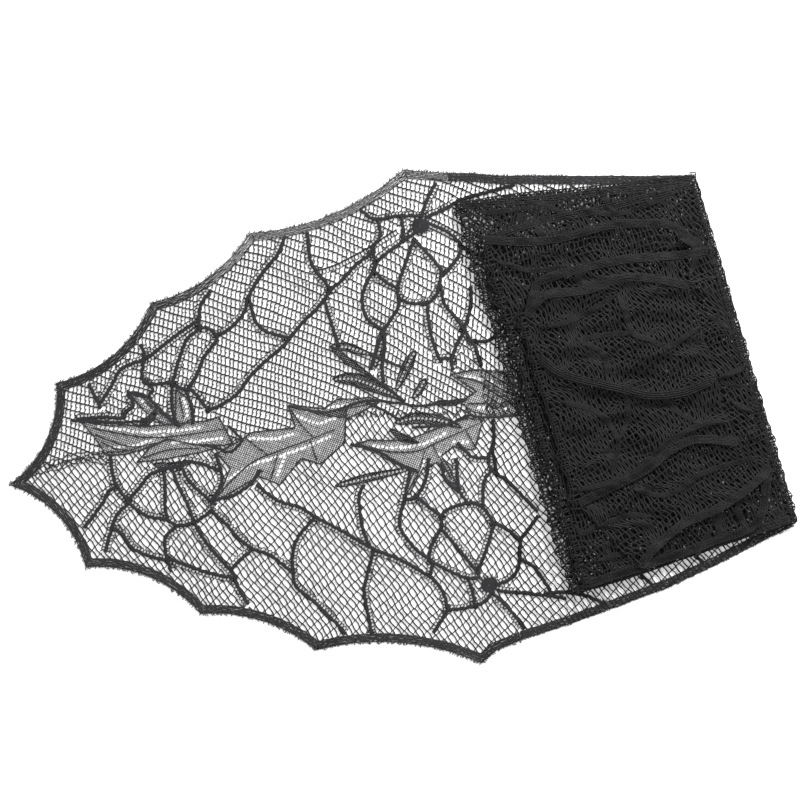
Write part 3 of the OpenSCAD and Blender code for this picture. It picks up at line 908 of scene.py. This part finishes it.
def ridge_field():
    """Height of the crinkles over the stack, on a grid."""
    uu, vv = np.meshgrid(GRID_U, GRID_V, indexing="ij")
    p = np.column_stack([uu.ravel(), vv.ravel()])
    h = Noise(13, 42, 0.8, lean=88, spread=24, waves=16)(p)
    for route, height, width in RIDGES:
        d = distance(p, curve(route, 6.0))
        h += height * np.exp(-(d / width) ** 2) - 0.25 * height * np.exp(-((d - width * 1.8) / width) ** 2)
    return h.reshape(uu.shape)


RIDGE = ridge_field()


def sampled(field, uv):
    """The field's value at each stack point, smoothed between the grid's points."""
    a = np.clip((uv[:, 0] - GRID_U[0]) / GRID_STEP, 0, len(GRID_U) - 1.001)
    b = np.clip((uv[:, 1] - GRID_V[0]) / GRID_STEP, 0, len(GRID_V) - 1.001)
    i, j = a.astype(int), b.astype(int)
    f, g = a - i, b - j
    return (field[i, j] * (1 - f) * (1 - g) + field[i + 1, j] * f * (1 - g) + field[i, j + 1] * (1 - f) * g
            + field[i + 1, j + 1] * f * g)


# How much of the ridges' height each ply takes up, by its number
SHARES = [0, 0.12, 0.24, 0.4, 0.56, 0.72, 0.86, 1.0]


def ply_edges(n):
    """Left and right end of ply n along u."""
    return sorted([FOLDS[n - 2][0] if n > 1 else -150, FOLDS[n - 1][0] if n < 7 else 73])


def ply_height(n):
    crinkle = Noise(7, 16, 0.32, lean=85, spread=40)
    left, right = ply_edges(n)
    base = (n - 1) * PLY_PITCH + PLY_BASE

    def z(path):
        uv = stack_uv(path)
        fade = np.clip((right - uv[:, 0]) / 12, 0, 1) * np.clip((uv[:, 0] - left) / 12, 0, 1)
        fade = fade * fade * (3 - 2 * fade)
        lift = sampled(RIDGE, uv) * SHARES[n] + crinkle(uv)
        return np.maximum(base + lift * fade, 0.45)
    return z


# Upper and lower edge of each ply, from left to right
EDGES = {
    2: ([(-106, 203), (-50, 195), (0, 185), (60, 174), (106, 166)],
        [(-106, -175), (-50, -175), (0, -172), (60, -169), (106, -168)]),
    3: ([(-106, 203), (-60, 193), (-20, 184), (30, 176), (102, 160)],
        [(-106, -175), (-40, -174), (0, -172), (102, -168)]),
    4: ([(-93, 165), (-50, 168), (10, 163), (60, 161), (102, 160)], [(-93, -172), (0, -170), (102, -168)]),
    5: ([(-93, 165), (-50, 151), (-18, 147), (19, 146), (49, 139), (76, 128), (99, 98)],
        [(-93, -172), (-30, -170), (30, -167), (75, -160), (99, -116)]),
    6: ([(-80, 86), (-66, 108), (-55, 115), (-12, 115), (22, 112), (48, 107), (76, 101), (99, 98)],
        [(-80, -98), (-60, -140), (-42, -168), (-26, -158), (4, -144), (40, -139), (71, -130), (99, -116)]),
    7: ([(-80, 86), (-66, 97), (-53, 101), (-18, 95), (17, 96), (43, 88), (57, 81), (73, 72)],
        [(-80, -98), (-42, -92), (-12, -86), (16, -75), (40, -73), (73, -86)]),
}
# Nets of the plies: rows' and ties' lean against the stack, cell size
PLY_NETS = {2: (-70, 22, 5.8, 3.0), 3: (62, -28, 5.6, 3.0), 4: (-64, 28, 5.6, 3.0), 5: (-84, 3, 6.2, 3.4),
            6: (-66, 18, 5.2, 2.9), 7: (-72, 24, 5.0, 2.8)}
PLY_CORDS = {
    3: [[(-106, 85), (-93, 90), (-80, 94)], [(-100, 150), (-60, 152), (-30, 130)], [(-104, 20), (-90, 40), (-84, 70)],
        [(-104, -40), (-88, -20), (-84, 10)], [(-100, -130), (-84, -90), (-86, -60)],
        [(-50, 187), (-30, 175), (-13, 159), (0, 142)], [(-90, 186), (-39, 177)], [(20, 178), (30, 150), (60, 140)]],
    4: [[(-92, 136), (-64, 135), (-29, 137), (-17, 146)], [(-93, 120), (-70, 100), (-60, 80)],
        [(0, 163), (30, 150), (80, 152)]],
    5: [[(-90, 140), (-60, 122), (-30, 118)], [(30, -166), (36, -150), (30, -135)], [(7, -173), (21, -159), (29, -152)],
        [(60, -160), (58, -140), (72, -126)], [(-90, -112), (-84, -122), (-63, -115)], [(-80, -150), (-40, -150)]],
    6: [[(74, -21), (104, -18)], [(-70, -120), (-40, -118), (-20, -125)],
        [(-30, -95), (0, -110), (40, -100), (90, -100)],
        [(76, 112), (87, 102), (84, 88), (75, 76)], [(80, 40), (97, 20)], [(80, -45), (97, -60)]],
    7: [[(-78, -83), (-35, -83), (-8, -75), (15, -63), (48, -57), (71, -61)], [(-62, 68), (-33, 69), (7, 79)],
        [(7, 79), (9, 66), (11, 41), (24, 31), (39, 20), (60, 26), (72, 29)], [(-40, 50), (-20, 30), (-24, 6)],
        [(-70, 0), (-40, -20), (-30, -50), (-44, -76)], [(20, -20), (30, -40), (48, -57)],
        [(11, 41), (-10, 46), (-40, 50)], [(-12, -6), (-14, -30), (-30, -50)]],
}
SMILE = [(-80, 48), (-65, 27), (-47, 14), (-12, -6), (9, -18), (39, -24), (73, -21)]


def strip(yarns, route, z, width=5.0, rise=0.35):
    """A dense strip of the pattern where the cloth is crinkled: fine cords bound by close cross ribs."""
    line = resample(curve(route, 2.0), 1.5)
    line = line + rng.normal(0, 0.12, line.shape)
    side = sides_of(line)
    n = len(line)
    taper = np.clip(np.minimum(np.arange(n), np.arange(n)[::-1]) / 5, 0.3, 1)
    for k in (-0.36, -0.12, 0.12, 0.36):
        path = line + side * (k * width * taper)[:, None]
        yarns.add(placed(path, z(path) + rise), rng.normal(0.95, 0.12, n).clip(0.6, 1.3), 0.8)
    swing = np.where(np.arange(n) % 2 == 0, -0.5, 0.5) * width * taper * rng.uniform(0.85, 1.1, n)
    path = line + side * swing[:, None]
    yarns.add(placed(path, z(path) + rise + 0.35), rng.uniform(0.7, 1.0, n), 0.7)


def ply_net_piece(n):
    z = ply_height(n)
    upper, lower = (laid(curve(e, 4.0)) for e in EDGES[n])
    outline = np.vstack([lower, upper[::-1]])
    row, tie, cell, gap = PLY_NETS[n]
    lean = math.degrees(TURN)
    net = net_frame(STACK_MID, row + lean, tie + lean)
    bend_u, bend_v = Noise(26, 80, 2.2), Noise(20, 70, 2.6)

    def warp(p):
        return p + np.column_stack([bend_u(p), bend_v(p)])

    yarns = Yarns()
    hidden = n < 4
    width, tie_width, parts = (1.5, 1.2, 2) if hidden else (1.25, 0.95, 3)
    celled_net(yarns, outline, [], net, warp, z, pitch=(cell, gap), width=width, step=cell / parts,
               tie_width=tie_width, wave=0.45)
    for route in PLY_CORDS.get(n, []):
        strip(yarns, laid(route), z)
    if n == 7:
        strip(yarns, laid(SMILE), z, width=8.0, rise=0.6)
    return yarns.mesh("ply_%d_lace" % n, FOLDED_PAINTED_SHADE)


def ply_border_piece(n, side):
    z = ply_height(n)
    edge = laid(curve(EDGES[n][0 if side > 0 else 1], 2.0))
    yarns = Yarns()
    if n == 6 and side < 0:
        edge = edge[edge[:, 0] > laid([(-46, -168)])[0, 0]]
    hidden = n < 5
    band(yarns, edge, lambda p: z(p) + (0.1 if hidden else 0.5), inward=-side, cords=4 if hidden else 6,
         step=3.0 if hidden else 1.5, fill=0.45 if hidden else 0.7)
    return yarns.mesh("ply_%d_%s_border_rib" % (n, SIDE_NAME[side]), FOLDED_RIB_PAINTED_SHADE)


# Short cords of the bottom ply that show below the stack
EDGE_CORDS = [[(474, -176), (500, -180), (530, -196)], [(560, -170), (572, -184)], [(612, -160), (622, -172)]]


def rising(p):
    """Height of the bottom ply's lower half, which lifts a little under the stack."""
    return NET_Z + 0.012 * np.clip(p[:, 0] - OPEN_L, 0, 60)


def make_bottom_ply():
    ply_height(1)  # called for its random draws, which keep the later ones as they are
    yarns = Yarns()
    celled_net(yarns, BOTTOM_OUTLINE, [half(1)], LOWER_NET, drifted, rising)
    rowed_net(yarns, BOTTOM_OUTLINE, [half(-1)], UPPER_NET, upper_warp, NET_Z, eased=False)
    within = offset_in(np.vstack([[(439, -216)], BOTTOM_OUTLINE, [(439, 222)]]), BORDER_W - 2)
    for route in UPPER_WEB + LOWER_WEB + EDGE_CORDS:
        if max(p[0] for p in route) > OPEN_L:
            cord(yarns, route, CORD_Z, outline=within)
    out = [yarns.mesh("bottom_ply_lace", FOLDED_PAINTED_SHADE)]
    for side, route in ((1, UPPER_ON), (-1, LOWER_ON)):
        yarns = Yarns()
        band(yarns, np.array(route, float), 0.6, inward=-side, cords=5, step=2.4)
        out.append(yarns.mesh("bottom_ply_%s_border_rib" % SIDE_NAME[side], RIB))
    hairs = Yarns()
    fringe(hairs, np.array(UPPER_ON[:5], float), 0.7, 1, low=1.0, high=2.6)
    fringe(hairs, np.array(LOWER_ON, float), 0.7, -1, low=0.8, high=2.0, pitch=2.2)
    out.append(hairs.mesh("bottom_ply_fringe", RIB))
    return out


bottom = make_bottom_ply()
plies = {}
for n in range(2, 8):
    plies[n] = [ply_net_piece(n), ply_border_piece(n, 1), ply_border_piece(n, -1)]


def fold_piece(n):
    """The lace that turns round a fold line: arcs of yarn side by side, with cords along the fold."""
    u, low, high = FOLDS[n - 1]
    out = 1 if u > 0 else -1
    z0 = n * PLY_PITCH - 0.2
    loose = 2.4 if out < 0 else 0.9
    yarns = Yarns()
    w = np.linspace(-math.pi / 2, math.pi / 2, 7)
    slack = Noise(12, 45, 1.0, lean=90, spread=5)
    for v in np.arange(low + 1, high, 2.5):
        v += rng.uniform(-0.6, 0.6)
        lean = rng.uniform(-2.4, 2.4)
        proud = loose * (1 + abs(slack(np.array([[0, v]]))[0]))
        uu = u + out * (FOLD_R + proud) * np.cos(w) - out * 1.5 * (np.abs(w) > 1.5)
        path = laid(np.column_stack([uu, v + lean * w / 1.5]))
        yarns.add(placed(path, z0 + FOLD_R * np.sin(w)), rng.uniform(0.7, 1.25), 0.8)
    for a in (-1.0, 0.1, 1.1):
        v = np.arange(low, high + 1, 3.0)
        proud = loose * (1 + np.abs(slack(np.column_stack([0 * v, v]))))
        uu = u + out * (FOLD_R + proud) * math.cos(a) + rng.normal(0, 0.3, len(v))
        path = laid(np.column_stack([uu, v]))
        yarns.add(placed(path, z0 + FOLD_R * math.sin(a) + rng.normal(0, 0.2, len(v))), 0.85, 0.8)
    piece = yarns.mesh("fold_%d_lace" % n, FOLDED_PAINTED_SHADE)
    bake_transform(piece)
    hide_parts("fold_%d" % n)
    return piece


folds = [fold_piece(n) for n in range(1, 7)]


# ---- what each piece rides on, stands for and is made of
def belongs(piece, body, slot, *nodes):
    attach(piece, body)
    if nodes:
        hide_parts(*nodes)


OPEN_END = [
    (open_net, "ground_net", "open_end_net"),
    (upper_border, "ribbed_border", "open_end_upper_border"), (lower_border, "ribbed_border", "open_end_lower_border"),
    (upper_fringe, "ribbed_border"), (lower_fringe, "ribbed_border"),
    (upper_web, "web_cord", "upper_web_cords"), (lower_web, "web_cord", "lower_web_cords"),
    *[(piece, "web_cord", node) for node, piece in hubs.items()],
    *[(piece, "leaf_mesh", node) for node, piece in leaves.items()], (spray, "web_cord", "buds"),
    (bottom[0], "folded_net", "bottom_ply_net"), (bottom[1], "ribbed_border", "bottom_ply_upper_border"),
    (bottom[2], "ribbed_border", "bottom_ply_lower_border"), (bottom[3], "ribbed_border"),
]
for piece, slot, *nodes in OPEN_END:
    belongs(piece, "open_end", slot, *nodes)
for n, (net, upper, lower) in plies.items():
    # each piece gets its own copy of its mesh
    for piece in (net, upper, lower):
        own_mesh(piece)
    belongs(net, "ply_%d" % n, "folded_net", "ply_%d_net" % n)
    belongs(upper, "ply_%d" % n, "ribbed_border", "ply_%d_upper_border" % n)
    belongs(lower, "ply_%d" % n, "ribbed_border", "ply_%d_lower_border" % n)
